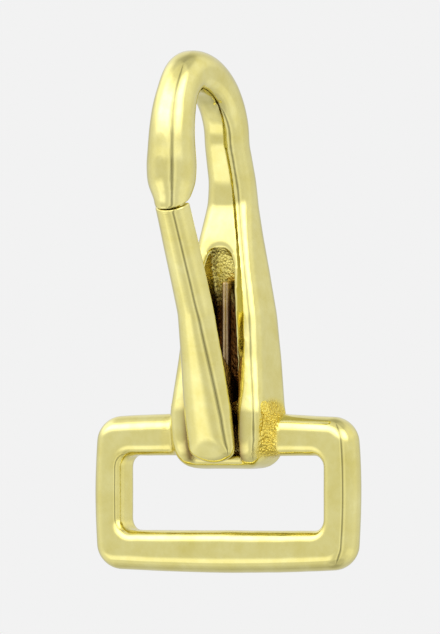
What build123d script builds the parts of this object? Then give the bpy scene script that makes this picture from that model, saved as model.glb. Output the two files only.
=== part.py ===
from build123d import *
from math import atan2, cos, degrees, radians, sin, tan
import os

os.makedirs("parts", exist_ok=True)

# Halter snap, cast brass, in millimetres.
# The origin is the centre of the strap loop, X runs along the strap's width,
# the hook opens towards -Y and +Z points up the snap.

# Strap loop
loop_clear_width = 26.0
loop_clear_height = 8.4
loop_end_bar = 3.4
loop_long_bar = 4.3
loop_depth = 4.3
loop_outer_corner = 2.6
loop_inner_corner = 1.3
loop_outer_edge = 1.5
loop_inner_edge = 0.8

# Body that carries the tongue between two cheeks
body_bottom = 2.7
body_neck_height = 35.0
body_width = 11.9
body_front = 3.65
body_back = 4.2

# Hook: a bar that rises from the neck, arches over and comes down as the front arm
hook_bar = 4.9
hook_rise = 12.2
hook_front_reach = 12.6
hook_bend_reach = 4.3
hook_bend_rise = 8.0
hook_rear_radius = 8.2
shank_lean = 12.0
bend_bar = 4.6
arm_width = 5.2
bulb_width = 5.5
shoulder_width = 4.8
point_width = 3.2
point_height = 32.5

# Pocket between the cheeks, open to the front and at the bottom
pocket_width = 6.2
pocket_straight_height = 12.0
pocket_arch_radius = 1.9
pocket_top = 28.1
pocket_lip = 1.5
pocket_back = 2.2
pocket_slope_height = 19.4

# Tongue, which closes the hook
tongue_base_width = 5.5
tongue_base_height = 8.5
tongue_bend_width = 3.95
tongue_tip_width = 3.3
tongue_thickness = 1.9
tongue_bottom = 3.2
tongue_bottom_front = 4.65
tongue_lower_lean = 13.0
tongue_upper_lean = 23.5
tongue_bend_height = 20.0
tongue_bend_radius = 40.0
tongue_bottom_corner = 2.2
tongue_front_edge = 1.5
tongue_end_gap = 0.25
tongue_lip_width = 1.6
tongue_lip_height = 1.5
tongue_lip_thickness = 0.9
tongue_hub_radius = 2.0
tongue_web_rise = 6.5
tongue_web_drop = 3.2

# Pivot pin, flush with the outer sides of the cheeks
pivot_height = 9.6
pin_diameter = 1.6
pin_seat_clearance = 0.01
pin_running_clearance = 0.06

# Hairpin spring: one leg up the pocket, a bow under the pin and one leg on the tongue
spring_wire = 1.1
spring_front_leg = 7.0
spring_side_clearance = 0.3
spring_pin_clearance = 0.25
spring_seat_clearance = 0.07
spring_wall_clearance = 0.07

# Cuts run past the surfaces that they open by this much
overrun = 3.0
facing_slack = 0.05

# Stations of the body, from the neck down to the rounded bottom.
# Each holds shares of the height above the bottom, of the flare from the neck's
# half width to the full half width, of the front reach and of the back reach, and
# the shares of its own half width that round the front and the back corners.
body_station_shares = [
    (1.000, 0.000, 0.315, 0.833, 0.72, 0.92),
    (0.923, 0.045, 0.274, 0.893, 0.62, 0.87),
    (0.814, 0.194, 0.410, 0.952, 0.45, 0.74),
    (0.690, 0.418, 0.570, 0.976, 0.34, 0.57),
    (0.536, 0.687, 0.712, 0.988, 0.31, 0.43),
    (0.381, 0.820, 0.808, 1.000, 0.28, 0.36),
    (0.195, 1.000, 1.000, 0.905, 0.23, 0.29),
    (0.102, 0.985, 0.918, 0.893, 0.23, 0.29),
    (0.030, 0.880, 0.660, 0.790, 0.23, 0.29),
    (0.000, 0.640, 0.300, 0.600, 0.20, 0.25),
]
neck_swell_share = 1.06

# Heights on the front arm, as shares of the way from its point up to the bend
bulb_rise_share = 0.64
shoulder_rise_share = 0.26

# Roundness of the bar's section, as shares of its half width
arch_inner_reach_share = 0.88
arch_inner_edge_share = 0.75
round_share = 0.90


def hook_plane(y, z, heading):
    """Section plane of the bar: heading is the angle of its run from +Y towards +Z."""
    run = (0, cos(radians(heading)), sin(radians(heading)))
    return Plane(origin=(0, y, z), x_dir=(1, 0, 0), z_dir=run)


def rounded_section(plane, half_width, inner, outer, inner_radius, outer_radius):
    """One section of the casting: a rectangle with its two pairs of corners rounded."""
    with BuildSketch(plane) as section:
        with Locations((0, (inner - outer) / 2)):
            Rectangle(2 * half_width, inner + outer)
        fillet(section.vertices().group_by(Axis.Y)[-1], inner_radius)
        fillet(section.vertices().group_by(Axis.Y)[0], outer_radius)
    return section.sketch.face()


# Places along the hook's centre line, in the plane X = 0
half_bar = hook_bar / 2
arm_half = arm_width / 2
arm_y = -hook_front_reach
apex_y = arm_y + hook_bend_reach
hook_apex_height = body_neck_height + hook_rise
front_bend_z = hook_apex_height - hook_bend_rise
rear_bend = 90 - shank_lean
rear_centre_z = hook_apex_height - hook_rear_radius
body_height = body_neck_height - body_bottom
arm_length = front_bend_z - point_height
neck_half = half_bar * neck_swell_share

# Strap loop, cast in one with the body
with BuildPart() as loop_frame:
    with BuildSketch(Plane.XZ):
        RectangleRounded(
            loop_clear_width + 2 * loop_end_bar,
            loop_clear_height + 2 * loop_long_bar,
            loop_outer_corner,
        )
        RectangleRounded(loop_clear_width, loop_clear_height, loop_inner_corner, mode=Mode.SUBTRACT)
    extrude(amount=loop_depth / 2, both=True)
    rims = faces().filter_by(Axis.Y)
    outer_rims = [face.outer_wire().edges() for face in rims]
    inner_rims = [face.inner_wires().edges() for face in rims]
    fillet(outer_rims[0] + outer_rims[1], loop_outer_edge)
    chamfer(
        edges().filter_by(lambda edge: edge in inner_rims[0] + inner_rims[1]),
        loop_inner_edge,
    )

# Frame of the tongue's upper part: along it from the bend, and back from its front face
lean = radians(tongue_upper_lean)
along = Vector(-sin(lean), cos(lean))
back = Vector(cos(lean), sin(lean))
bend_rise = tongue_bend_height - tongue_bottom
bend = Vector(-tongue_bottom_front - bend_rise * tan(radians(tongue_lower_lean)), tongue_bend_height)
point_end = (Vector(arm_y, point_height) - bend).dot(along)
tongue_length = point_end - tongue_end_gap
lip_front = tongue_thickness - tongue_lip_thickness


def on_tongue(length, depth):
    """Point of the plane X = 0, measured along the upper part of the tongue and back from it."""
    return bend + along * length + back * depth


# Front arm of the hook with its bulb, turned about its own axis.
# Its point is cut square to the tongue, and slotted from behind for the tongue's lip.
with BuildPart() as front_arm:
    shoulder_rise = arm_length * shoulder_rise_share
    point_slope = ((point_width - shoulder_width) / 2, shoulder_rise)
    arm_slope = ((arm_width - bend_bar) / 2, hook_bend_rise)
    with BuildSketch(Plane.YZ):
        with BuildLine():
            Spline(
                (arm_y - point_width / 2, point_height),
                (arm_y - shoulder_width / 2, point_height + shoulder_rise),
                (arm_y - bulb_width / 2, point_height + arm_length * bulb_rise_share),
                (arm_y - arm_half, front_bend_z),
                tangents=(point_slope, arm_slope),
            )
            Polyline(
                (arm_y - arm_half, front_bend_z),
                (arm_y, front_bend_z),
                (arm_y, point_height - point_width),
                (arm_y - point_width / 2, point_height - point_width),
                (arm_y - point_width / 2, point_height),
            )
        make_face()
    revolve(axis=Axis((0, arm_y, 0), (0, 0, 1)))
    slot_end = point_end + tongue_lip_height + tongue_end_gap
    slot_front = lip_front - tongue_end_gap
    cut_reach = bulb_width + overrun
    with BuildSketch(Plane.YZ):
        with BuildLine():
            Polyline(
                on_tongue(0, -cut_reach),
                on_tongue(point_end, -cut_reach),
                on_tongue(point_end, cut_reach),
                on_tongue(0, cut_reach),
                close=True,
            )
        make_face()
    extrude(amount=bulb_width, both=True, mode=Mode.SUBTRACT)
    with BuildSketch(Plane.YZ):
        with BuildLine():
            Polyline(
                on_tongue(0, slot_front),
                on_tongue(slot_end, slot_front),
                on_tongue(slot_end, cut_reach),
                on_tongue(0, cut_reach),
                close=True,
            )
        make_face()
    extrude(amount=tongue_lip_width / 2 + tongue_end_gap, both=True, mode=Mode.SUBTRACT)

# Sections of the casting, from the front bend over the arch and down to the bottom
sections = []
for turn in (0, 15, 30, 45, 60, 75):
    bar = arm_width + (bend_bar - arm_width) * sin(radians(turn))
    reach = hook_bend_reach * cos(radians(turn))
    rise = hook_bend_rise * sin(radians(turn))
    heading = atan2(hook_bend_rise * cos(radians(turn)), hook_bend_reach * sin(radians(turn)))
    bend_plane = hook_plane(apex_y - reach, front_bend_z + rise, degrees(heading))
    corner = bar / 2 * round_share
    sections.append(rounded_section(bend_plane, bar / 2, bar / 2, bar / 2, corner, corner))
for turn in (0, rear_bend / 3, 2 * rear_bend / 3, rear_bend):
    arch_plane = hook_plane(
        apex_y + hook_rear_radius * sin(radians(turn)),
        rear_centre_z + hook_rear_radius * cos(radians(turn)),
        -turn,
    )
    sections.append(
        rounded_section(
            arch_plane,
            half_bar,
            half_bar * arch_inner_reach_share,
            half_bar,
            half_bar * arch_inner_edge_share,
            half_bar * round_share,
        )
    )
for rise_share, flare_share, front_share, back_share, inner_share, outer_share in body_station_shares:
    station_plane = hook_plane(0, body_bottom + body_height * rise_share, -90)
    half_width = neck_half + (body_width / 2 - neck_half) * flare_share
    sections.append(
        rounded_section(
            station_plane,
            half_width,
            body_front * front_share,
            body_back * back_share,
            half_width * inner_share,
            half_width * outer_share,
        )
    )

# Hook, shank and body as one run, before the pocket is cored out
with BuildPart() as shank:
    loft(sections)

# Core of the pocket: an arched outline from the front, cut back by a sloping rear wall
with BuildPart() as pocket_core:
    half_pocket = pocket_width / 2
    arch_z = pocket_top - pocket_arch_radius
    core_bottom = body_bottom - overrun
    core_front = body_front + overrun
    with BuildSketch(Plane.XZ.offset(-pocket_back)):
        with BuildLine():
            ThreePointArc((pocket_arch_radius, arch_z), (0, pocket_top), (-pocket_arch_radius, arch_z))
            Polyline(
                (-pocket_arch_radius, arch_z),
                (-half_pocket, pocket_straight_height),
                (-half_pocket, core_bottom),
                (half_pocket, core_bottom),
                (half_pocket, pocket_straight_height),
                (pocket_arch_radius, arch_z),
            )
        make_face()
    extrude(amount=pocket_back + core_front)
    with BuildSketch(Plane.YZ):
        with BuildLine():
            Polyline(
                (-core_front, core_bottom),
                (pocket_back, core_bottom),
                (pocket_back, pocket_slope_height),
                (-pocket_lip, pocket_top),
                (-core_front, pocket_top),
                close=True,
            )
        make_face()
    extrude(amount=pocket_width, both=True, mode=Mode.INTERSECT)

# Frame of the tongue's lower part. The pin lies behind it by the wire that passes between them.
lower_lean = radians(tongue_lower_lean)
lower_back = tongue_thickness / cos(lower_lean)


def lower_back_y(z):
    """Where the back of the tongue's lower part lies at a height."""
    return -tongue_bottom_front - (z - tongue_bottom) * tan(lower_lean) + lower_back


def lower_mid_y(z):
    """Where the middle of the tongue's lower part lies at a height."""
    return lower_back_y(z) - lower_back / 2


spring_bow_radius = pin_diameter / 2 + spring_pin_clearance + spring_wire / 2
pin_setback = spring_bow_radius + spring_wire / 2 + spring_seat_clearance
pivot_y = lower_back_y(pivot_height) + pin_setback / cos(lower_lean)
pin_axis = Plane(origin=(0, pivot_y, pivot_height), x_dir=(0, 1, 0), z_dir=(1, 0, 0))

# Casting: hook, shank, cheeks and strap loop in one piece of brass
with BuildPart() as snap_body:
    add(shank.part)
    add(front_arm.part)
    add(loop_frame.part)
    add(pocket_core.part, mode=Mode.SUBTRACT)
    with BuildSketch(pin_axis):
        Circle(pin_diameter / 2 + pin_seat_clearance)
    extrude(amount=body_width, both=True, mode=Mode.SUBTRACT)
snap_body.part.label = "snap_body"
export_step(snap_body.part, "parts/snap_body.step")

# Pivot pin, dressed flush with the cheeks
with BuildPart() as pivot_pin:
    with BuildSketch(pin_axis):
        Circle(pin_diameter / 2)
    extrude(amount=body_width, both=True)
    add(shank.part, mode=Mode.INTERSECT)
pivot_pin.part.label = "pivot_pin"
export_step(pivot_pin.part, "parts/pivot_pin.step")

# Tongue: a bent bar with a hub on the pin, rounded towards the front
bend_half = (lean - lower_lean) / 2
bend_back = tongue_thickness * tan(bend_half)


def faces_front(face):
    """Whether a face of the tongue is one of those that look out of the snap."""
    return face.normal_at().Y < -cos(lean) + facing_slack


with BuildPart() as tongue:
    with BuildSketch(Plane.YZ) as side:
        with BuildLine():
            Polyline(
                (-tongue_bottom_front, tongue_bottom),
                bend,
                on_tongue(tongue_length, 0),
                on_tongue(tongue_length, tongue_thickness),
                on_tongue(bend_back, tongue_thickness),
                (lower_back_y(tongue_bottom), tongue_bottom),
                close=True,
            )
        make_face()
        bends = side.vertices().filter_by_position(
            Axis.Y, tongue_bend_height - tongue_thickness, tongue_bend_height + tongue_thickness
        )
        fillet(bends, tongue_bend_radius)
        with Locations((pivot_y, pivot_height)):
            Circle(tongue_hub_radius)
        with BuildLine():
            Polyline(
                (lower_mid_y(pivot_height + tongue_web_rise), pivot_height + tongue_web_rise),
                (pivot_y, pivot_height + tongue_hub_radius),
                (pivot_y, pivot_height - tongue_hub_radius),
                (lower_mid_y(pivot_height - tongue_web_drop), pivot_height - tongue_web_drop),
                close=True,
            )
        make_face()
    extrude(amount=tongue_base_width / 2, both=True)
    with BuildSketch(Plane.XZ) as front:
        with BuildLine():
            Polyline(
                (tongue_base_width / 2, tongue_bottom),
                (tongue_base_width / 2, tongue_base_height),
                (tongue_bend_width / 2, tongue_bend_height),
                (tongue_tip_width / 2, point_height + tongue_lip_height),
                (-tongue_tip_width / 2, point_height + tongue_lip_height),
                (-tongue_bend_width / 2, tongue_bend_height),
                (-tongue_base_width / 2, tongue_base_height),
                (-tongue_base_width / 2, tongue_bottom),
                close=True,
            )
        make_face()
        fillet(front.vertices().group_by(Axis.Y)[0], tongue_bottom_corner)
    extrude(amount=hook_front_reach + overrun, both=True, mode=Mode.INTERSECT)
    front_faces = faces().filter_by(faces_front)
    across = front_faces.edges().filter_by(Axis.X).sort_by(Axis.Z)
    outline = front_faces.edges().filter_by(Axis.X, reverse=True)
    fillet(outline + across[:1], tongue_front_edge)
    with BuildSketch(Plane.YZ):
        with BuildLine():
            Polyline(
                on_tongue(tongue_length - tongue_lip_height, lip_front),
                on_tongue(tongue_length + tongue_lip_height, lip_front),
                on_tongue(tongue_length + tongue_lip_height, tongue_thickness),
                on_tongue(tongue_length - tongue_lip_height, tongue_thickness),
                close=True,
            )
        make_face()
    extrude(amount=tongue_lip_width / 2, both=True)
    with BuildSketch(pin_axis):
        Circle(pin_diameter / 2 + pin_running_clearance)
    extrude(amount=tongue_base_width, both=True, mode=Mode.SUBTRACT)
    slot_half = spring_wire / 2 + spring_side_clearance
    slot_bottom = pivot_height - tongue_web_drop - overrun
    slot_top = pivot_height + tongue_web_rise + overrun
    with BuildSketch(Plane.YZ):
        with BuildLine():
            Polyline(
                (lower_back_y(slot_bottom), slot_bottom),
                (lower_back_y(slot_top), slot_top),
                (tongue_hub_radius, slot_top),
                (tongue_hub_radius, slot_bottom),
                close=True,
            )
        make_face()
    extrude(amount=slot_half, both=True, mode=Mode.SUBTRACT)
    with BuildSketch(pin_axis):
        Circle(spring_bow_radius + slot_half)
    extrude(amount=slot_half, both=True, mode=Mode.SUBTRACT)
tongue.part.label = "tongue"
export_step(tongue.part, "parts/tongue.step")

# Hairpin spring, bent from round wire in the plane X = 0
with BuildPart() as tongue_spring:
    rear_leg_y = pivot_y + spring_bow_radius
    wall_run = pocket_back - rear_leg_y - spring_wire / 2 - spring_wall_clearance
    wall_slope = (pocket_top - pocket_slope_height) / (pocket_back + pocket_lip)
    spring_top = pocket_slope_height + wall_run * wall_slope
    bow_end = (
        pivot_y - spring_bow_radius * cos(lower_lean),
        pivot_height - spring_bow_radius * sin(lower_lean),
    )
    with BuildLine(Plane.YZ) as wire_path:
        Line((rear_leg_y, spring_top), (rear_leg_y, pivot_height))
        ThreePointArc(
            (rear_leg_y, pivot_height),
            (pivot_y, pivot_height - spring_bow_radius),
            bow_end,
        )
        PolarLine(bow_end, spring_front_leg, 90 + tongue_lower_lean)
    wire_end = Plane(origin=(0, rear_leg_y, spring_top), x_dir=(1, 0, 0), z_dir=(0, 0, -1))
    with BuildSketch(wire_end):
        Circle(spring_wire / 2)
    sweep(path=wire_path.wire())
tongue_spring.part.label = "tongue_spring"
export_step(tongue_spring.part, "parts/tongue_spring.step")
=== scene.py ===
from math import cos, pi, radians, sin, tan

import bpy
import numpy as np
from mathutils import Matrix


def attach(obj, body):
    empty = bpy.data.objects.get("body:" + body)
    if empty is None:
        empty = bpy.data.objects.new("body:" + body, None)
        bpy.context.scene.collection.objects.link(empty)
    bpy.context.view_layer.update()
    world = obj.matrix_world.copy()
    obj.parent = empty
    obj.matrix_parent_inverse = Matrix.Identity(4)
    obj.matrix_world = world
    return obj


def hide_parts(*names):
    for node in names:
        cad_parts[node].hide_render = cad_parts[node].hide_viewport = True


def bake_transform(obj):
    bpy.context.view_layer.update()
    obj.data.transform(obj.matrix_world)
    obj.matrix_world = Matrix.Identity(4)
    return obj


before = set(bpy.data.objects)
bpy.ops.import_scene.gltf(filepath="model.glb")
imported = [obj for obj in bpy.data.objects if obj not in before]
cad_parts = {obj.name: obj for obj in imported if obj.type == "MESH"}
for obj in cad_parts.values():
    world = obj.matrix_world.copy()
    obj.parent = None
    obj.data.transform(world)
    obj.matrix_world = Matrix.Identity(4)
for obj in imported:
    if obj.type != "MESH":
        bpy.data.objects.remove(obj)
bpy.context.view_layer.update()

# Casting
# The hook, the shank with its two cheeks and the strap loop are one sand casting in yellow brass,
# tumbled and polished outside and left with its casting skin where a wheel can't reach.
# Its parts flow into each other, so it is worked out as a field whose zero level is the surface.
MM = 0.001

# The strap loop in millimetres, as all sizes of pieces here: its opening, its bars, and the corners
# and rounded edges of its outer and then its inner rim
LOOP_CLEAR = (26.0, 8.4)
LOOP_END_BAR = 3.4
LOOP_LONG_BAR = 4.3
LOOP_DEPTH = 4.3
LOOP_CORNERS = (2.6, 1.3)
LOOP_EDGES = (2.0, 1.4)
LOOP_BOW = 0.45

# The shank with its cheeks, and the bar that it runs into over the hook's arch
BODY_BOTTOM = 2.7
BODY_HALF_WIDTH = 5.95
BODY_FRONT = 3.65
BODY_BACK = 4.2
NECK_HEIGHT = 35.0
HALF_BAR = 2.45
NECK_HALF = HALF_BAR * 1.06
HOOK_APEX = 47.2
ARM_Y = -12.6
POINT_HEIGHT = 32.5
BEND_REACH = 4.3
BEND_RISE = 8.0
BEND_HALF = 2.3
BEND_PLACE = 0.6
BEND_POINTS = 40
REAR_RADIUS = 8.2
REAR_TURN = radians(78)
REAR_POINTS = 60
# Rows from the neck to the bottom: shares of the height, of the flare from the neck's half width,
# of the front and the back reach, and of the half width for the front and the back corners
BODY_SHARES = np.array([
    (1.000, 0.000, 0.315, 0.833, 0.72, 0.92),
    (0.923, 0.045, 0.262, 0.893, 0.62, 0.87),
    (0.814, 0.194, 0.440, 0.952, 0.45, 0.74),
    (0.690, 0.418, 0.600, 0.976, 0.34, 0.57),
    (0.536, 0.687, 0.712, 0.988, 0.31, 0.43),
    (0.381, 0.820, 0.808, 1.000, 0.28, 0.36),
    (0.195, 1.000, 1.000, 0.905, 0.23, 0.29),
    (0.102, 0.985, 0.950, 0.893, 0.25, 0.29),
    (0.000, 0.930, 0.840, 0.860, 0.30, 0.33),
])
# Rows up the front arm: heights above its point, and the half widths there
ARM_ROWS = np.array([
    (-2.0, 1.90),
    (-0.2, 1.90),
    (0.30, 1.94),
    (0.90, 2.18),
    (1.50, 2.45),
    (2.20, 2.66),
    (2.90, 2.74),
    (4.40, 2.80),
    (6.70, 2.62),
])
# Shares of the half bar over the arch: half width, inner and outer reach, inner and outer corners
ARCH_SHARES = (1, 0.88, 1, 0.75, 0.97)

# The pocket between the cheeks: its arch has a half width and a rise, and its ledge behind the
# tongue's foot a front and a top
POCKET_HALF_WIDTH = 3.1
POCKET_STRAIGHT = 12.0
POCKET_ARCH = (1.95, 3.6)
POCKET_TOP = 27.8
POCKET_LIP = 1.5
POCKET_BACK = 2.2
POCKET_SLOPE = 19.4
POCKET_LEDGE = (-2.4, 4.4)

# How far edges are rounded and corners filled, and the steps that the shapes are worked out in
CAST_FILLET = 0.7
CAST_EDGE = 0.3
BOTTOM_ROUND = 3.0
CORNER_MOST = 0.98
SWEEP_OVERRUN = 2.0
PATH_STEP = 0.1
PATH_SMOOTH = 0.6
SIZE_SMOOTH = 0.45
CASTING_STEP = 0.22
CASTING_LOW = (-17.2, -16.2, -9.5)
CASTING_HIGH = (17.2, 5.4, 51.0)
RELAX_WEIGHTS = (0.5, -0.53)
RELAX_ROUNDS = 8


def smooth_max(a, b, radius):
    """The larger of two fields, with the crease between them rounded to about that radius."""
    overlap = np.maximum(radius - np.abs(a - b), 0) / radius
    return np.maximum(a, b) + overlap * overlap * radius / 4


def smooth_min(a, b, radius):
    """The smaller of two fields, with the corner between them filled to about that radius."""
    return -smooth_max(-a, -b, radius)


def rounded_box(across, along, half, reach, radius):
    """Distance to a rectangle of half sizes half and reach whose corners are rounded by radius."""
    corner_across = np.abs(across) - half + radius
    corner_along = np.abs(along) - reach + radius
    outer = np.hypot(np.maximum(corner_across, 0), np.maximum(corner_along, 0))
    return np.minimum(np.maximum(corner_across, corner_along), 0) + outer - radius


def rounded_edge(one, other, radius):
    """What lies inside two fields, with the edge between their surfaces rounded to a radius."""
    outer = np.hypot(np.maximum(one + radius, 0), np.maximum(other + radius, 0))
    return np.minimum(np.maximum(one, other) + radius, 0) + outer - radius


def smoothed(values, width):
    """A row of values along a path, averaged over a bell of that width in steps of the path."""
    reach = int(3 * width / PATH_STEP)
    weights = np.exp(-0.5 * (np.arange(-reach, reach + 1) * PATH_STEP / width) ** 2)
    padded = np.pad(values, reach, mode="reflect", reflect_type="odd")
    return np.convolve(padded, weights / weights.sum(), mode="valid")


def even_path(points):
    """A polyline cut into even steps and smoothed: its places (y, z) and the length along it."""
    points = np.asarray(points, float)
    runs = np.hypot(*np.diff(points, axis=0).T)
    length = np.concatenate([[0], np.cumsum(runs)])
    places = np.arange(0, length[-1], PATH_STEP)
    path = [smoothed(np.interp(places, length, column), PATH_SMOOTH) for column in points.T]
    return np.stack(path, axis=1), places


def beside_path(y, z, path, places):
    """For points of the plane X = 0: the length along the path of its nearest place, and how far
    they lie to the right of it, looking along it. The nearest of the even steps is refined by the
    offset along its own direction."""
    heading = np.gradient(path, axis=0)
    heading /= np.hypot(*heading.T)[:, None]
    flat_y, flat_z = np.broadcast_arrays(y, z)
    gap = (flat_y[..., None] - path[:, 0]) ** 2 + (flat_z[..., None] - path[:, 1]) ** 2
    nearest = gap.argmin(axis=-1)
    off_y = flat_y - path[nearest, 0]
    off_z = flat_z - path[nearest, 1]
    ahead = off_y * heading[nearest, 0] + off_z * heading[nearest, 1]
    right = off_y * heading[nearest, 1] - off_z * heading[nearest, 0]
    return places[nearest] + np.clip(ahead, -PATH_STEP, PATH_STEP), right


def swept_field(x, place, right, keys, rows):
    """A bar carried along a path: at each place a rectangle with rounded corners, whose half width,
    inner reach to the right, outer reach to the left, and inner and outer corners are interpolated
    along the keys and smoothed."""
    grid = np.arange(keys[0], keys[-1], PATH_STEP)
    sizes = [smoothed(np.interp(grid, keys, column), SIZE_SMOOTH) for column in rows.T]
    half, inner, outer, inner_corner, outer_corner = (
        np.interp(place, grid, size) for size in sizes
    )
    middle = right - (inner - outer) / 2
    reach = (inner + outer) / 2
    most = np.minimum(half, reach) * CORNER_MOST
    corner = np.minimum(np.where(middle > 0, inner_corner, outer_corner), most)
    return rounded_box(x, middle, half, reach, corner)


def hook_path():
    """Centre line of the bar: up the front arm, a quarter ellipse, an arc and down the shank."""
    apex_y = ARM_Y + BEND_REACH
    quarter = np.linspace(0, pi / 2, BEND_POINTS)
    bend_y = apex_y - BEND_REACH * np.cos(quarter)
    bend_z = HOOK_APEX - BEND_RISE + BEND_RISE * np.sin(quarter)
    arch = np.linspace(0, REAR_TURN, REAR_POINTS)[1:]
    rear_y = apex_y + REAR_RADIUS * np.sin(arch)
    rear_z = HOOK_APEX - REAR_RADIUS + REAR_RADIUS * np.cos(arch)
    arm = [(ARM_Y, POINT_HEIGHT - 2 * SWEEP_OVERRUN)]
    bend = np.stack([bend_y, bend_z], 1)
    rear = np.stack([rear_y, rear_z], 1)
    shank = [(0, NECK_HEIGHT), (0, BODY_BOTTOM - SWEEP_OVERRUN)]
    return even_path(np.concatenate([arm, bend, rear, shank]))


def hook_sizes(path, places):
    """Places along the hook's path and the sizes of the bar's section there: round on the front
    arm, a little flat inside the arch, and then the stations of the body."""
    top = path[:, 1].argmax()
    apex = places[top]
    keys = list(np.interp(POINT_HEIGHT + ARM_ROWS[:, 0], path[:top, 1], places[:top]))
    rows = [(half,) * 5 for half in ARM_ROWS[:, 1]]
    keys.append(keys[-1] + (apex - keys[-1]) * BEND_PLACE)
    rows.append((BEND_HALF,) * 5)
    neck = np.interp(-NECK_HEIGHT, -path[top:, 1], places[top:])
    for place in (apex, neck - (neck - apex) / 4):
        keys.append(place)
        rows.append(tuple(HALF_BAR * share for share in ARCH_SHARES))
    for rise, flare, front, back, front_corner, back_corner in BODY_SHARES:
        half = NECK_HALF + (BODY_HALF_WIDTH - NECK_HALF) * flare
        corners = half * front_corner, half * back_corner
        keys.append(neck + (NECK_HEIGHT - BODY_BOTTOM) * (1 - rise))
        rows.append((half, BODY_FRONT * front, BODY_BACK * back, *corners))
    keys.append(keys[-1] + SWEEP_OVERRUN)
    rows.append(rows[-1])
    return np.array(keys), np.array(rows)


def ring_field(x, y, z):
    """Strap loop: a rounded rectangle with slightly bowed sides less a smaller one, as thick as its
    depth, with its outer and inner rims rounded so far that its bars are crowned."""
    half_x, half_z = LOOP_CLEAR[0] / 2, LOOP_CLEAR[1] / 2
    reach_x, reach_z = half_x + LOOP_END_BAR, half_z + LOOP_LONG_BAR
    bowed_x = np.maximum(np.abs(x) - LOOP_BOW * (1 - (z / reach_z) ** 2), 0)
    bowed_z = np.maximum(np.abs(z) - LOOP_BOW * (1 - (x / reach_x) ** 2), 0)
    outside = rounded_box(bowed_x, bowed_z, reach_x, reach_z, LOOP_CORNERS[0])
    inside = -rounded_box(x, z, half_x, half_z, LOOP_CORNERS[1])
    slab = np.abs(y) - LOOP_DEPTH / 2
    rims = [rounded_edge(wall, slab, edge) for wall, edge in zip((outside, inside), LOOP_EDGES)]
    return smooth_max(rims[0], rims[1], CAST_EDGE)


def pocket_field(x, y, z):
    """Core of the pocket: straight sides that taper to an elliptical arch seen from the front, in
    front of a rear wall that slopes out above, and over a ledge that closes its bottom."""
    arch_half, arch_rise = POCKET_ARCH
    arch_z = POCKET_TOP - arch_rise
    taper = np.interp(z, (POCKET_STRAIGHT, arch_z), (POCKET_HALF_WIDTH, arch_half))
    arch = (np.hypot(x / arch_half, (z - arch_z) / arch_rise) - 1) * arch_half
    outline = np.where(z < arch_z, np.abs(x) - taper, arch)
    fall = (POCKET_BACK + POCKET_LIP) / (POCKET_TOP - POCKET_SLOPE)
    slope = (y - POCKET_BACK + (z - POCKET_SLOPE) * fall) / np.hypot(1, fall)
    wall = smooth_max(y - POCKET_BACK, slope, 2 * CAST_FILLET)
    ledge_front, ledge_top = POCKET_LEDGE
    ledge = np.minimum(ledge_top - z, y - ledge_front)
    return np.maximum(smooth_max(outline, wall, CAST_FILLET), np.maximum(ledge, -z))


# The tongue's front line, bent where its lower part meets its upper part, and the lip at its top:
# the hook's point is cut square to that upper part, with a slot for the lip
TONGUE_BOTTOM = 3.2
TONGUE_BOTTOM_FRONT = -4.65
LOWER_LEAN = radians(13)
TONGUE_LEAN = radians(23.5)
TONGUE_BEND_Z = 20.0
TONGUE_BEND_Y = TONGUE_BOTTOM_FRONT - (TONGUE_BEND_Z - TONGUE_BOTTOM) * tan(LOWER_LEAN)
TONGUE_THICKNESS = 1.9
TONGUE_GAP = 0.13
LIP_WIDTH = 1.6
LIP_LENGTH = 1.5
LIP_THICKNESS = 0.9
LIP_FRONT = TONGUE_THICKNESS - LIP_THICKNESS


def on_tongue(y, z):
    """How far a point lies along the upper part of the tongue from its bend, and back from it."""
    off_y, off_z = y - TONGUE_BEND_Y, z - TONGUE_BEND_Z
    along = off_z * cos(TONGUE_LEAN) - off_y * sin(TONGUE_LEAN)
    return along, off_y * cos(TONGUE_LEAN) + off_z * sin(TONGUE_LEAN)


POINT_END = on_tongue(ARM_Y, POINT_HEIGHT)[0]


def casting_fields(x, y, z):
    """The casting's own field, and those of its bar, its loop and its pocket for the finish."""
    path, places = hook_path()
    keys, rows = hook_sizes(path, places)
    place, right = beside_path(y[0], z[0], path, places)
    bar = swept_field(x, place[None], right[None], keys, rows)
    bar = smooth_max(bar, BODY_BOTTOM - z, BOTTOM_ROUND)
    along, depth = on_tongue(y, z)
    slot_end = along - POINT_END - LIP_LENGTH - TONGUE_GAP
    slot = np.maximum(slot_end, LIP_FRONT - TONGUE_GAP - depth)
    slot = np.maximum(slot, np.abs(x) - LIP_WIDTH / 2 - TONGUE_GAP)
    cut = np.minimum(along - POINT_END, slot)
    near_point = y < ARM_Y + BEND_REACH
    bar = np.where(near_point, smooth_max(bar, -cut, CAST_EDGE), bar)
    ring = ring_field(x, y, z)
    pocket = pocket_field(x, y, z)
    solid = smooth_max(smooth_min(bar, ring, CAST_FILLET), -pocket, CAST_EDGE)
    return solid, bar, ring, pocket


CUBE = np.array([(i, j, k) for i in (0, 1) for j in (0, 1) for k in (0, 1)])
CUBE_EDGES = [(a, b) for a in range(8) for b in range(a) if np.abs(CUBE[a] - CUBE[b]).sum() == 1]


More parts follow.
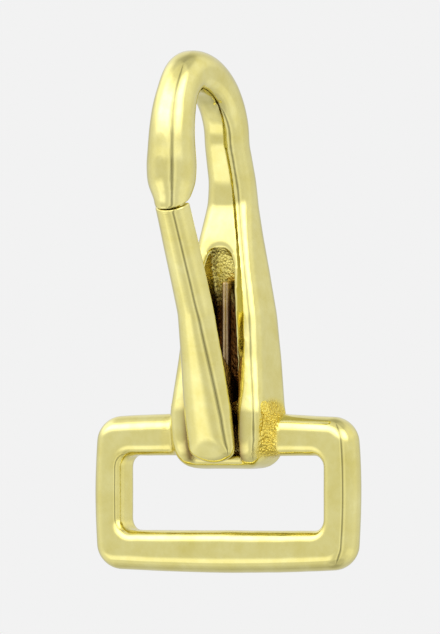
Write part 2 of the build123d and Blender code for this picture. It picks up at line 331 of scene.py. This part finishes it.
def zero_surface(field, low, step):
    """Points and faces of a field's zero level on a grid: one point in each cell whose corners
    differ in sign, at the mean of the crossings on its edges, and one face with four sides round
    each grid edge that changes sign, turned so that it looks out."""
    cells = np.array(field.shape) - 1
    inside = field < 0
    count = np.zeros(cells, np.int8)
    for corner in CUBE:
        count += inside[tuple(slice(c, c + n) for c, n in zip(corner, cells))]
    active = np.argwhere((count > 0) & (count < 8))
    number = np.full(cells, -1)
    number[tuple(active.T)] = np.arange(len(active))
    corners = np.stack([field[tuple((active + corner).T)] for corner in CUBE], 1)
    total = np.zeros((len(active), 3))
    crossings = np.zeros((len(active), 1))
    for a, b in CUBE_EDGES:
        crosses = (corners[:, a] < 0) != (corners[:, b] < 0)
        fall = np.where(crosses, corners[:, a] - corners[:, b], 1)
        share = np.where(crosses, corners[:, a] / fall, 0)
        total += crosses[:, None] * (CUBE[a] + share[:, None] * (CUBE[b] - CUBE[a]))
        crossings += crosses[:, None]
    points = np.asarray(low) + step * (active + total / crossings)
    faces = []
    for axis in range(3):
        one, two = np.eye(3, dtype=int)[[(axis + 1) % 3, (axis + 2) % 3]]
        ahead = np.eye(3, dtype=int)[axis]
        start = tuple(slice(0, n - d) for n, d in zip(field.shape, ahead))
        end = tuple(slice(d, n) for n, d in zip(field.shape, ahead))
        edges = np.argwhere(inside[start] != inside[end])
        edges = edges[((edges - one - two) >= 0).all(1) & (edges < cells).all(1)]
        around = [edges - one - two, edges - two, edges, edges - one]
        quads = np.stack([number[tuple(cell.T)] for cell in around], 1)
        leaving = inside[tuple(edges.T)]
        faces.append(np.where(leaving[:, None], quads, quads[:, ::-1]))
    return points, np.concatenate(faces)


def relaxed(points, faces):
    """Points moved towards the mean of their neighbours and back out by a little more, in turns,
    which takes the grid's steps out of a surface and keeps its size."""
    ends, others = np.roll(faces, 1, axis=1).reshape(-1), faces.reshape(-1)
    degree = np.bincount(ends, minlength=len(points)) + np.bincount(others, minlength=len(points))
    for weight in RELAX_WEIGHTS * RELAX_ROUNDS:
        mean = np.stack([
            np.bincount(ends, points[others, axis], len(points))
            + np.bincount(others, points[ends, axis], len(points))
            for axis in range(3)
        ], 1) / degree[:, None]
        points = points + weight * (mean - points)
    return points


def surface_normals(points, faces):
    """Unit normals of the points: the sum of their faces' normals, by area."""
    corners = points[faces]
    flat = np.cross(corners[:, 2] - corners[:, 0], corners[:, 3] - corners[:, 1])
    total = np.stack([
        sum(np.bincount(faces[:, side], flat[:, axis], len(points)) for side in range(4))
        for axis in range(3)
    ], 1)
    return total / np.linalg.norm(total, axis=1)[:, None]


LATTICE_HASH = (73856093, 19349663, 83492791)
SEED_HASH = 2654435761
STIR_HASH = 1274126177
HASH_TOP = 65535


def grain(points, size, seed):
    """Lumps about that size: random values on a lattice, eased between its points, from -1 to 1."""
    cell, part = np.divmod(points / size, 1)
    cell = cell.astype(np.int64)
    part = part * part * (3 - 2 * part)
    total = np.zeros(len(points))
    for corner in CUBE:
        mixed = np.bitwise_xor.reduce((cell + corner) * LATTICE_HASH, axis=1) ^ (seed * SEED_HASH)
        mixed = (mixed ^ (mixed >> 13)) * STIR_HASH
        value = 2 * ((mixed ^ (mixed >> 16)) & HASH_TOP) / HASH_TOP - 1
        total += value * np.prod(np.where(corner, part, 1 - part), axis=1)
    return total


def grid_axes(low, high, step):
    """Coordinates of a grid as three arrays that broadcast against each other."""
    axes = [np.arange(a, b, step, dtype=np.float32) for a, b in zip(low, high)]
    return np.meshgrid(*axes, indexing="ij", sparse=True)


def sampled(field, points, low, step):
    """A field's values at some points, from the eight grid places round each by their nearness."""
    place = np.clip((points - np.asarray(low)) / step, 0, np.array(field.shape) - 1.001)
    cell, part = np.divmod(place, 1)
    cell = cell.astype(int)
    return sum(
        field[tuple((cell + corner).T)] * np.prod(np.where(corner, part, 1 - part), axis=1)
        for corner in CUBE
    )


def new_piece(name, points, faces, masks):
    """A smooth mesh object with its place in its points, in metres, and its masks as attributes."""
    mesh = bpy.data.meshes.new(name)
    mesh.from_pydata((points * MM).tolist(), [], list(faces))
    for mask, values in masks.items():
        layer = mesh.attributes.new(mask, "FLOAT", "POINT")
        layer.data.foreach_set("value", values.astype(np.float32))
    mesh.shade_smooth()
    piece = bpy.data.objects.new(name, mesh)
    bpy.context.scene.collection.objects.link(piece)
    return piece


def bell(value, width):
    """A mask that is 1 where a value is 0 and fades over a width."""
    return np.exp(-((value / width) ** 2))


def ramp(value, start, end):
    """A mask that eases from 0 where a value is at the start to 1 where it is at the end."""
    share = np.clip((value - start) / (end - start), 0, 1)
    return share * share * (3 - 2 * share)


x, y, z = grid_axes(CASTING_LOW, CASTING_HIGH, CASTING_STEP)
solid, *parts = casting_fields(x, y, z)
points, faces = zero_surface(solid, CASTING_LOW, CASTING_STEP)
points = relaxed(points, faces)
at_bar, at_ring, at_pocket = (
    sampled(np.broadcast_to(part, solid.shape), points, CASTING_LOW, CASTING_STEP)
    for part in parts
)

# Where the casting's skin is left: inside the pocket, at the joint of the cheeks and the loop's
# upper bar, rougher on its right, and round the loop's opening. A pair is a ramp's start and end.
POCKET_SKIN = 0.45
POCKET_SKIN_DEPTH = (-0.04, -0.2)
POCKET_SKIN_CLEAR = (-0.2, 0.2)
POCKET_SKIN_RISE = (3.2, 6.0)
JOINT_REACH = (2.1, 1.1)
JOINT_FRONT = (-3.4, -2.2)
JOINT_RISE = (3.6, 4.8)
JOINT_ASIDE = (3.6, 4.8)
JOINT_LEFT = 0.2
OPENING_SKIN = 0.15
OPENING_WIDTH = 0.6
across, depth, height = points.T
in_pocket = ramp(at_bar, *POCKET_SKIN_DEPTH) * ramp(at_ring, *POCKET_SKIN_CLEAR)
in_pocket *= ramp(height, *POCKET_SKIN_RISE) * (depth > ARM_Y / 2)
at_joint = ramp(np.hypot(at_bar, at_ring), *JOINT_REACH) * (1 - in_pocket)
at_joint *= ramp(depth, *JOINT_FRONT) * ramp(height, *JOINT_RISE)
at_joint *= ramp(np.abs(across), *JOINT_ASIDE) * np.where(across > 0, 1, JOINT_LEFT)
past_opening = np.maximum(np.abs(height) - LOOP_CLEAR[1] / 2, 0)
at_opening = bell(np.hypot(past_opening, at_ring), OPENING_WIDTH)
at_opening *= bell(np.maximum(np.abs(across) - LOOP_CLEAR[0] / 2, 0), OPENING_WIDTH)
skin = np.clip(POCKET_SKIN * in_pocket + at_joint + OPENING_SKIN * at_opening, 0, 1)

# Heights and sizes of the lumps in those three places, and of the two that lie all over
LUMPS = ((0.03, 0.8), (0.11, 0.5), (0.012, 0.9), (0.035, 3.6), (0.008, 1.3))
lumps = sum(
    rise * where * grain(points, size, seed)
    for seed, ((rise, size), where) in enumerate(
        zip(LUMPS, (in_pocket, at_joint, at_opening, 1, 1)), 1
    )
)
points = points + surface_normals(points, faces) * lumps[:, None]

# Painted shade in brown where shade falls: deep in the pocket, more towards its bottom, and along
# its rim beside the tongue's foot; and the casting is a little darker in the joint
SHADE_TOP = (24.0, 20.5)
RIM_SHADE = 0.85
RIM_WIDTH = 0.75
RIM_TOP = (15.0, 7.0)
RIM_BACK = (-2.2, -2.8)
JOINT_DARKENING = 0.25
depth, height = points[:, 1], points[:, 2]
rim = bell(at_pocket, RIM_WIDTH) * ramp(height, *RIM_TOP) * ramp(depth, *RIM_BACK)
# Painted shade: darker low in the pocket and along its rim beside the tongue, a little in the joint
painted_shade = np.maximum(in_pocket * ramp(height, *SHADE_TOP), RIM_SHADE * rim) + JOINT_DARKENING * at_joint
casting = new_piece("snap_casting", points, faces, {"skin": skin, "painted_shade": painted_shade})
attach(casting, "snap")
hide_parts("snap_body")

# The brass: two yellows that its tone drifts between, the raw skin's yellow and the painted shade's
# brown
DEEP_YELLOW = (0.685, 0.605, 0.195)
PALE_YELLOW = (0.79, 0.735, 0.33)
SKIN_YELLOW = (0.92, 0.76, 0.15)
SHADE_BROWN = (0.15, 0.065, 0.016)
SKIN_RELIEF = 0.28 * MM
FINISH_SOCKETS = (
    ("Skin", "INPUT", "NodeSocketFloat"),
    ("Painted_shade", "INPUT", "NodeSocketFloat"),
    ("Colour", "OUTPUT", "NodeSocketColor"),
    ("Roughness", "OUTPUT", "NodeSocketFloat"),
    ("Height", "OUTPUT", "NodeSocketFloat"),
)


def new_material(name):
    """A material with a new node tree: the Principled shader and its output."""
    material = bpy.data.materials.new(name)
    material.use_nodes = True
    tree = material.node_tree
    return material, tree, tree.nodes["Principled BSDF"]


def add_node(tree, kind, **inputs):
    """A node of that kind, with values set on its inputs by name."""
    node = tree.nodes.new(kind)
    for name, value in inputs.items():
        node.inputs[name.replace("_", " ")].default_value = value
    return node


def colour_mix(tree, **colours):
    """A node that mixes two colours, with those that are given set on its inputs A and B."""
    node = tree.nodes.new("ShaderNodeMix")
    node.data_type = "RGBA"
    for name, colour in colours.items():
        node.inputs[name].default_value = (*colour, 1)
    return node


def math_node(tree, operation, *inputs):
    """The result of a Math node whose inputs are sockets or numbers."""
    node = tree.nodes.new("ShaderNodeMath")
    node.operation = operation
    for socket, value in zip(node.inputs, inputs):
        if isinstance(value, bpy.types.NodeSocket):
            tree.links.new(value, socket)
        else:
            socket.default_value = value
    return node.outputs["Value"]


def brass_finish_group():
    """Finish of polished cast brass from two masks: its tone drifts between two yellows, rubbing
    makes its polish uneven, the casting's skin shows as dull grain where the first mask is up, and
    it is darkened to the brown of a painted shade where the second is."""
    tree = bpy.data.node_groups.new("brass_finish", "ShaderNodeTree")
    for name, way, kind in FINISH_SOCKETS:
        tree.interface.new_socket(name, in_out=way, socket_type=kind)
    inlet = tree.nodes.new("NodeGroupInput")
    outlet = tree.nodes.new("NodeGroupOutput")
    place = tree.nodes.new("ShaderNodeTexCoord")
    drift = add_node(tree, "ShaderNodeTexNoise", Scale=330.0, Detail=6.0, Roughness=0.66)
    wander = add_node(tree, "ShaderNodeMapRange", From_Min=0.26, From_Max=0.74)
    tone = colour_mix(tree, A=DEEP_YELLOW, B=PALE_YELLOW)
    skin_tone = colour_mix(tree, B=SKIN_YELLOW)
    # The brown of the painted shade, mixed in by the second mask
    shade_tone = colour_mix(tree, B=SHADE_BROWN)
    rubbing = add_node(tree, "ShaderNodeTexNoise", Scale=900.0, Detail=4.0)
    polish = add_node(
        tree, "ShaderNodeMapRange", From_Min=0.3, From_Max=0.8, To_Min=0.05, To_Max=0.14
    )
    dull = add_node(tree, "ShaderNodeMapRange", To_Min=0.0, To_Max=0.5)
    grains = add_node(tree, "ShaderNodeTexVoronoi", Scale=3300.0)
    for texture in (drift, rubbing, grains):
        tree.links.new(place.outputs["Object"], texture.inputs["Vector"])
    tree.links.new(drift.outputs["Fac"], wander.inputs["Value"])
    tree.links.new(wander.outputs["Result"], tone.inputs["Factor"])
    tree.links.new(tone.outputs["Result"], skin_tone.inputs["A"])
    tree.links.new(inlet.outputs["Skin"], skin_tone.inputs["Factor"])
    tree.links.new(skin_tone.outputs["Result"], shade_tone.inputs["A"])
    tree.links.new(inlet.outputs["Painted_shade"], shade_tone.inputs["Factor"])
    tree.links.new(shade_tone.outputs["Result"], outlet.inputs["Colour"])
    tree.links.new(rubbing.outputs["Fac"], polish.inputs["Value"])
    tree.links.new(inlet.outputs["Skin"], dull.inputs["Value"])
    rough = math_node(tree, "ADD", polish.outputs["Result"], dull.outputs["Result"])
    tree.links.new(rough, outlet.inputs["Roughness"])
    shallow = math_node(tree, "MULTIPLY", grains.outputs["Distance"], inlet.outputs["Skin"])
    deep = math_node(tree, "MULTIPLY", shallow, inlet.outputs["Skin"])
    tree.links.new(deep, outlet.inputs["Height"])
    return tree


brass_finish = brass_finish_group()


def brass_material(name, masks=(), skin=0.0):
    """Polished brass whose masks are attributes of the piece, or with one skin all over."""
    material, tree, shader = new_material(name)
    shader.inputs["Metallic"].default_value = 1.0
    finish = tree.nodes.new("ShaderNodeGroup")
    finish.node_tree = brass_finish
    finish.inputs["Skin"].default_value = skin
    bump = add_node(tree, "ShaderNodeBump", Strength=0.9, Distance=SKIN_RELIEF)
    bump.invert = True
    for mask in masks:
        layer = tree.nodes.new("ShaderNodeAttribute")
        layer.attribute_name = mask
        tree.links.new(layer.outputs["Fac"], finish.inputs[mask.capitalize()])
    tree.links.new(finish.outputs["Colour"], shader.inputs["Base Color"])
    tree.links.new(finish.outputs["Roughness"], shader.inputs["Roughness"])
    tree.links.new(finish.outputs["Height"], bump.inputs["Height"])
    tree.links.new(bump.outputs["Normal"], shader.inputs["Normal"])
    return material


casting.data.materials.append(brass_material("cast_brass", ("skin", "painted_shade")))

# Tongue
# A separate brass casting that closes the hook: a bent bar with a half-round front, deeper above
# and tucked in to a small facet at its rounded foot. Behind it a hub between the cheeks turns on
# the pivot pin and is slotted for the spring, and a lip at its top stops behind the hook's point.
PIVOT = (-1.8992, 9.6)
HUB_RADIUS = 2.0
HUB_FILLET = 0.6
WEB_RISE = 6.5
WEB_DROP = 3.2
WEB_OVERLAP = 0.8
WEB_SLANT = 1.2
EAR_HALF = 2.7
EAR_INSET = 0.25
EAR_EDGE = 0.3
EAR_FILLET = 0.3
SLOT_HALF = 0.85
SLOT_EDGE = 0.2
# The foot: its arc from the front, its rounded end, the height and radius that it tucks in from and
# by, and the facet's top and its depth at the bottom
FOOT_ARC = 3.5
FOOT_ROUND = 0.9
FOOT_TUCK = (8.6, 30.0)
FOOT_FACET = (6.2, 0.7)
FACET_EDGE = 0.25
LIP_EDGE = 0.2
TONGUE_SIDE = 0.35
TONGUE_BACK_EDGE = 0.3
# Heights up the tongue, and its half widths and its depths there
TONGUE_WIDTHS = ((3.2, 8.5, 20.0, 34.0), (3.0, 3.0, 2.2, 2.0))
TONGUE_DEPTHS = ((8.5, 21.0, 34.0), (1.9, 2.35, 2.5))
LEAST_SLOPE = 0.05
TONGUE_STEP = 0.14
TONGUE_LOW = (-3.4, -15.6, 2.6)
TONGUE_HIGH = (3.4, 1.0, 34.6)


def lower_back(z):
    """Where the back of the tongue's lower part lies at a height."""
    front = TONGUE_BOTTOM_FRONT - (z - TONGUE_BOTTOM) * tan(LOWER_LEAN)
    return front + TONGUE_THICKNESS / cos(LOWER_LEAN)


def half_round(x, rise, width, top):
    """Distance to a section with a flat back, short straight sides and half an ellipse in front,
    from the ellipse's first order: its level times its value, over the length of its slope."""
    ahead = np.maximum(rise - TONGUE_SIDE, 0)
    reach = top - TONGUE_SIDE
    level = np.hypot(x / width, ahead / reach)
    slope = np.maximum(np.hypot(x / width**2, ahead / reach**2), LEAST_SLOPE)
    return smooth_max(level * (level - 1) / slope, -rise, TONGUE_BACK_EDGE)


def tongue_bar_field(x, y, z):
    """The tongue's bar: a half-round section carried down a bent line, cut by the facet's plane and
    an arc at its foot, and square at its top, where only the lip goes on."""
    length = POINT_END - TONGUE_GAP
    half = TONGUE_THICKNESS / 2
    top_along = length + SWEEP_OVERRUN
    bend = (TONGUE_BEND_Y + cos(TONGUE_LEAN) * half, TONGUE_BEND_Z + sin(TONGUE_LEAN) * half)
    top = (bend[0] - top_along * sin(TONGUE_LEAN), bend[1] + top_along * cos(TONGUE_LEAN))
    drop = bend[1] - TONGUE_BOTTOM + SWEEP_OVERRUN
    foot = (bend[0] + drop * tan(LOWER_LEAN), bend[1] - drop)
    path, places = even_path([top, bend, foot])
    place, right = beside_path(y[0], z[0], path, places)
    height = np.interp(place, places, path[:, 1])
    rise = right + half
    tuck_start, tuck_radius = FOOT_TUCK
    tuck = np.maximum(tuck_start - height, 0) ** 2 / (2 * tuck_radius)
    width = np.interp(height, *TONGUE_WIDTHS)
    front = np.interp(height, *TONGUE_DEPTHS) - tuck
    arm = half_round(x, rise[None], width[None], front[None])
    facet_top, facet_foot = FOOT_FACET
    slant = (TONGUE_THICKNESS - facet_foot) / (facet_top - TONGUE_BOTTOM)
    facet = (rise - facet_foot - (height - TONGUE_BOTTOM) * slant) / np.hypot(1, slant)
    arm = smooth_max(arm, facet[None], FACET_EDGE)
    arm = smooth_max(arm, TONGUE_BOTTOM + x * x / (2 * FOOT_ARC) - z, FOOT_ROUND)
    along, depth = on_tongue(y, z)
    lip = np.maximum(along - length - LIP_LENGTH, LIP_FRONT - depth)
    lip = np.maximum(lip, np.abs(x) - LIP_WIDTH / 2)
    return smooth_max(arm, np.minimum(along - length, lip), LIP_EDGE)


def tongue_hub_field(x, y, z):
    """The tongue's hub: a round boss on the pin and a web with slanted ends from it to the bar,
    kept inside the bar's width, with the spring's slot through both."""
    hub = np.hypot(y - PIVOT[0], z - PIVOT[1]) - HUB_RADIUS
    web_ends = np.abs(z - PIVOT[1] - (WEB_RISE - WEB_DROP) / 2) - (WEB_RISE + WEB_DROP) / 2
    web_ends = web_ends + (y - lower_back(z)) * WEB_SLANT
    web = np.maximum(np.maximum(lower_back(z) - WEB_OVERLAP - y, y - PIVOT[0]), web_ends)
    ear_half = np.minimum(EAR_HALF, np.interp(z, *TONGUE_WIDTHS) - EAR_INSET)
    ear = smooth_max(smooth_min(hub, web, HUB_FILLET), np.abs(x) - ear_half, EAR_EDGE)
    slot = np.maximum(np.abs(x) - SLOT_HALF, lower_back(z) - y)
    return smooth_max(ear, -slot, SLOT_EDGE)


# The tongue's long lumps, its skin, left behind it below its bend, and painted shade behind it and
# in its slot below its bend. A pair is a ramp's start and end.
TONGUE_LUMPS = (0.02, 3.0)
TONGUE_SKIN_TOP = (21, 18)
TONGUE_BEHIND = (-0.4, 0.1)
TONGUE_IN_SLOT = (0.05, 0.5)
BEHIND_SKIN = 0.4
BEHIND_SHADE = 0.35
SLOT_SHADE = 0.6
x, y, z = grid_axes(TONGUE_LOW, TONGUE_HIGH, TONGUE_STEP)
solid = smooth_min(tongue_bar_field(x, y, z), tongue_hub_field(x, y, z), EAR_FILLET)
points, faces = zero_surface(solid, TONGUE_LOW, TONGUE_STEP)
points = relaxed(points, faces)
rise, size = TONGUE_LUMPS
points = points + surface_normals(points, faces) * (rise * grain(points, size, 6))[:, None]
past_back = points[:, 1] - lower_back(points[:, 2])
low_part = ramp(points[:, 2], *TONGUE_SKIN_TOP)
behind = ramp(past_back, *TONGUE_BEHIND) * low_part
in_slot = ramp(past_back, *TONGUE_IN_SLOT) * low_part
# The second mask is painted shade behind the tongue and in its slot
masks = {"skin": BEHIND_SKIN * behind, "painted_shade": BEHIND_SHADE * behind + SLOT_SHADE * in_slot}
tongue = new_piece("tongue_bar", points, faces, masks)
tongue.data.materials.append(brass_material("tongue_brass", ("skin", "painted_shade")))
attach(tongue, "tongue")
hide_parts("tongue")

# Pivot pin
# A drawn brass pin through both cheeks and the tongue's hub. Its ends are hammered over and dressed
# flush with the casting's skin round them, so they are as grainy as that skin.
PIN_SKIN = 0.9
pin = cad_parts["pivot_pin"]
pin.data.materials.clear()
pin.data.materials.append(brass_material("pin_brass", skin=PIN_SKIN))

# Spring
# A hairpin of hard drawn round wire, browned by heat: one leg up the pocket, a bow under the pin,
# and a leg along the back of the tongue, which it presses shut.
WIRE_RADIUS = 0.55
WIRE_TIP = 0.4 * WIRE_RADIUS
WIRE_SIDES = 24
BOW_RADIUS = 1.6
BOW_POINTS = 60
REAR_LEG_TOP = 23.79
REAR_LEG_POINTS = 40
FRONT_LEG = 7.0
FRONT_LEG_POINTS = 24
TIP_POINTS = 8
PALE_BROWN = (0.56, 0.44, 0.26)
DARK_BROWN = (0.36, 0.25, 0.13)


def hairpin_path():
    """Centre line of the wire: straight down, round the pin from behind and up along the tongue,
    with closer places at both ends for its rounded tips."""
    turn = np.linspace(0, pi + LOWER_LEAN, BOW_POINTS)
    rear_y = PIVOT[0] + BOW_RADIUS
    rear_z = np.linspace(REAR_LEG_TOP, PIVOT[1], REAR_LEG_POINTS)
    rear = np.stack([np.full(REAR_LEG_POINTS, rear_y), rear_z], 1)
    bow_y = PIVOT[0] + BOW_RADIUS * np.cos(turn)
    bow = np.stack([bow_y, PIVOT[1] - BOW_RADIUS * np.sin(turn)], 1)
    run = np.linspace(0, FRONT_LEG, FRONT_LEG_POINTS)[1:, None]
    heading = np.array([-sin(LOWER_LEAN), cos(LOWER_LEAN)])
    path = np.concatenate([rear[:-1], bow, bow[-1] + run * heading])
    tip = np.linspace(0, 1, TIP_POINTS)[1:-1, None] ** 2
    first = path[0] + tip * (path[1] - path[0])
    last = path[-1] + tip[::-1] * (path[-2] - path[-1])
    return np.concatenate([path[:1], first, path[1:-1], last, path[-1:]])


def wire_tube(path):
    """A circle carried along a path in the plane X = 0, its radius eased to nothing at both ends,
    where a fan of triangles closes it on one point."""
    heading = np.gradient(path, axis=0)
    heading /= np.hypot(*heading.T)[:, None]
    length = np.concatenate([[0], np.cumsum(np.hypot(*np.diff(path, axis=0).T))])
    tip = np.minimum(length, length[-1] - length) / WIRE_TIP
    radius = WIRE_RADIUS * np.sqrt(1 - (1 - np.clip(tip, 0, 1)) ** 2)
    angle = np.linspace(0, 2 * pi, WIRE_SIDES, endpoint=False)
    across = radius[:, None] * np.cos(angle)
    aside = radius[:, None] * np.sin(angle)
    y = path[:, :1] + aside * heading[:, 1:]
    z = path[:, 1:] - aside * heading[:, :1]
    rings = np.stack([across, y, z], -1)[1:-1]
    tips = np.column_stack([[0, 0], path[[0, -1]]])
    points = np.concatenate([rings.reshape(-1, 3), tips])
    row = np.arange(len(rings) - 1)[:, None] * WIRE_SIDES
    below = row + WIRE_SIDES
    side = np.arange(WIRE_SIDES)
    after = (side + 1) % WIRE_SIDES
    walls = np.stack([row + side, row + after, below + after, below + side], -1)
    first, last = len(points) - 2, len(points) - 1
    end = (len(rings) - 1) * WIRE_SIDES
    fans = np.concatenate([
        np.stack([after, side, np.full(WIRE_SIDES, first)], 1),
        np.stack([end + side, end + after, np.full(WIRE_SIDES, last)], 1),
    ])
    return points, walls.reshape(-1, 4).tolist() + fans.tolist()


points, faces = wire_tube(hairpin_path())
spring = new_piece("spring_hairpin", points, faces, {})
material, tree, shader = new_material("spring_wire")
shader.inputs["Metallic"].default_value = 1.0
place = tree.nodes.new("ShaderNodeTexCoord")
heat = add_node(tree, "ShaderNodeTexNoise", Scale=420.0, Detail=4.0)
shades = add_node(tree, "ShaderNodeMapRange", From_Min=0.35, From_Max=0.65)
browns = colour_mix(tree, A=PALE_BROWN, B=DARK_BROWN)
stretch = add_node(tree, "ShaderNodeMapping", Scale=(1, 1, 0.06))
drawn = add_node(tree, "ShaderNodeTexNoise", Scale=6000.0, Detail=2.0)
shine = add_node(
    tree, "ShaderNodeMapRange", From_Min=0.3, From_Max=0.7, To_Min=0.24, To_Max=0.44
)
tree.links.new(place.outputs["Object"], heat.inputs["Vector"])
tree.links.new(heat.outputs["Fac"], shades.inputs["Value"])
tree.links.new(shades.outputs["Result"], browns.inputs["Factor"])
tree.links.new(browns.outputs["Result"], shader.inputs["Base Color"])
tree.links.new(place.outputs["Object"], stretch.inputs["Vector"])
tree.links.new(stretch.outputs["Vector"], drawn.inputs["Vector"])
tree.links.new(drawn.outputs["Fac"], shine.inputs["Value"])
tree.links.new(shine.outputs["Result"], shader.inputs["Roughness"])
spring.data.materials.append(material)
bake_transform(spring)
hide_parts("tongue_spring")

# Floor
# A pale plain floor well below the snap, which hangs from its strap and so stands on nothing.
# The metal looks through it at the tent, so that it shows the pale background all round.
FLOOR_Z = -0.034
FLOOR_HALF = 0.4
FLOOR_ROUGHNESS = 0.9
PALE = 0.888
corner = np.array([(-1, -1), (1, -1), (1, 1), (-1, 1)]) * FLOOR_HALF
floor_points = np.column_stack([corner, np.full(4, FLOOR_Z)])
floor = new_piece("floor", floor_points / MM, np.array([[0, 1, 2, 3]]), {})
material, tree, shader = new_material("pale_floor")
shader.inputs["Base Color"].default_value = (PALE, PALE, PALE, 1)
shader.inputs["Roughness"].default_value = FLOOR_ROUGHNESS
light = tree.nodes.new("ShaderNodeLightPath")
tent_below = tree.nodes.new("ShaderNodeBsdfTransparent")
mixed = tree.nodes.new("ShaderNodeMixShader")
tree.links.new(light.outputs["Is Glossy Ray"], mixed.inputs["Fac"])
tree.links.new(shader.outputs["BSDF"], mixed.inputs[1])
tree.links.new(tent_below.outputs["BSDF"], mixed.inputs[2])
tree.links.new(mixed.outputs["Shader"], tree.nodes["Material Output"].inputs["Surface"])
floor.data.materials.append(material)

# Camera
# A long lens level with the middle of the snap, thirty degrees round from its front. Its distance
# is in metres and its scale in pixels to the metre, and places in the image are in pixels.
VIEW_TURN = radians(30)
VIEW_DISTANCE = 2.0
VIEW_SCALE = 8900.0
SENSOR = 36.0
IMAGE_HEIGHT = 634
IMAGE_CENTRE = (220, 317)
LOOP_CENTRE = (228, 493)
right = np.array([cos(VIEW_TURN), sin(VIEW_TURN), 0])
back = np.array([sin(VIEW_TURN), -cos(VIEW_TURN), 0])
up = np.array([0, 0, 1])
aim = right * (IMAGE_CENTRE[0] - LOOP_CENTRE[0]) + up * (LOOP_CENTRE[1] - IMAGE_CENTRE[1])
aim = aim / VIEW_SCALE
camera_data = bpy.data.cameras.new("camera")
camera = bpy.data.objects.new("camera", camera_data)
bpy.context.scene.collection.objects.link(camera)
camera.location = aim + back * VIEW_DISTANCE
camera.rotation_euler = (pi / 2, 0, VIEW_TURN)
camera_data.sensor_width = SENSOR
camera_data.lens = VIEW_SCALE * VIEW_DISTANCE / IMAGE_HEIGHT * SENSOR
camera_data.clip_start = 0.01
bpy.context.scene.camera = camera

# Light
# A tent of pale cloth round the snap, darker behind and at the narrow opening for the lens, with
# soft panels above and faint ones below on both sides of it. Its general level is the background's
# own, so that is what the metal shows. One soft lamp above gives the floor its shadow.

# The tent's level for the floor alone, because nothing else here is matt
FLOOR_FILL = 0.5
# Stops of each patch of cloth, round from the back past the lens to the back again, and up from
# below to above: angles in degrees from the lens, and how bright the patch is there
TENT_CLOTH = (
    (
        (-180, 0.66), (-152, 0.68), (-122, 0.90), (-94, 1.0), (-64, PALE), (-27, PALE),
        (-18, 1.02), (-13, 1.10), (-7, 0.66), (-3, 0.48), (0, 0.25), (3, 0.48), (7, 0.66),
        (13, 1.10), (18, 1.02), (27, PALE), (64, 0.92), (94, 0.96), (122, 0.86), (152, 0.68),
        (180, 0.66),
    ),
    ((-90, 0.72), (-65, 0.76), (-50, 1.0), (50, 1.0), (65, 0.76), (90, 0.72)),
)
TENT_TOP = (
    (
        (-180, 0.15), (-105, 0.35), (-74, 1.0), (-28, 1.0), (-10, 0.4), (10, 0.4), (28, 1.0),
        (40, 1.0), (62, 0.1), (180, 0.1),
    ),
    ((-90, 0.0), (4, 0.0), (26, 2.0), (38, 2.0), (62, 0.4), (90, 0.2)),
)
TENT_FOOT = (
    (
        (-180, 0.1), (-95, 0.2), (-74, 1.0), (-58, 1.0), (-36, 0.0), (36, 0.0), (58, 0.3),
        (180, 0.1),
    ),
    ((-90, 0.0), (-47, 0.0), (-34, 0.5), (-22, 0.5), (-8, 0.0), (90, 0.0)),
)
LAMP_RISE = radians(75)
LAMP_DISTANCE = 1.2
LAMP_SIDE = 0.5
LAMP_RADIANCE = 9.0


def tent_stops(tree, angle, stops):
    """Brightness by an angle: a smooth ramp through stops in degrees, scaled to its brightest."""
    low, high = stops[0][0], stops[-1][0]
    most = max(bright for _, bright in stops)
    ramp_node = tree.nodes.new("ShaderNodeValToRGB")
    ramp_node.color_ramp.interpolation = "EASE"
    elements = ramp_node.color_ramp.elements
    while len(elements) < len(stops):
        elements.new(0.5)
    for element, (place, bright) in zip(elements, stops):
        element.position = (place - low) / (high - low)
        element.color = (bright / most,) * 3 + (1,)
    share = math_node(tree, "MULTIPLY_ADD", angle, 1 / radians(high - low), -low / (high - low))
    tree.links.new(share, ramp_node.inputs["Fac"])
    return math_node(tree, "MULTIPLY", ramp_node.outputs["Color"], most)


def tent_share(tree, way, axis):
    """How far a direction points along an axis."""
    node = tree.nodes.new("ShaderNodeVectorMath")
    node.operation = "DOT_PRODUCT"
    node.inputs[1].default_value = axis
    tree.links.new(way, node.inputs[0])
    return node.outputs["Value"]


world = bpy.data.worlds.new("tent")
bpy.context.scene.world = world
world.use_nodes = True
tree = world.node_tree
sky = tree.nodes["Background"]
way = tree.nodes.new("ShaderNodeTexCoord").outputs["Generated"]
turn = math_node(tree, "ARCTAN2", tent_share(tree, way, right), tent_share(tree, way, back))
rise = math_node(tree, "ARCSINE", tent_share(tree, way, up))
patches = [
    math_node(tree, "MULTIPLY", tent_stops(tree, turn, around), tent_stops(tree, rise, upward))
    for around, upward in (TENT_CLOTH, TENT_TOP, TENT_FOOT)
]
cloth = math_node(tree, "ADD", math_node(tree, "ADD", patches[0], patches[1]), patches[2])
light = tree.nodes.new("ShaderNodeLightPath")
seen = add_node(tree, "ShaderNodeMix", B=PALE)
tree.links.new(light.outputs["Is Camera Ray"], seen.inputs["Factor"])
tree.links.new(cloth, seen.inputs["A"])
on_floor = add_node(tree, "ShaderNodeMix", B=FLOOR_FILL)
tree.links.new(light.outputs["Is Diffuse Ray"], on_floor.inputs["Factor"])
tree.links.new(seen.outputs["Result"], on_floor.inputs["A"])
tree.links.new(on_floor.outputs["Result"], sky.inputs["Color"])

lamp_data = bpy.data.lights.new("top_panel", "AREA")
lamp_data.shape = "SQUARE"
lamp_data.size = LAMP_SIDE
lamp_data.energy = LAMP_RADIANCE * pi * LAMP_SIDE**2
lamp = bpy.data.objects.new("top_panel", lamp_data)
bpy.context.scene.collection.objects.link(lamp)
lamp.location = aim + LAMP_DISTANCE * (back * cos(LAMP_RISE) + up * sin(LAMP_RISE))
lamp.rotation_euler = (pi / 2 - LAMP_RISE, 0, VIEW_TURN)
lamp.visible_glossy = False
bpy.context.scene.view_settings.view_transform = "Standard"
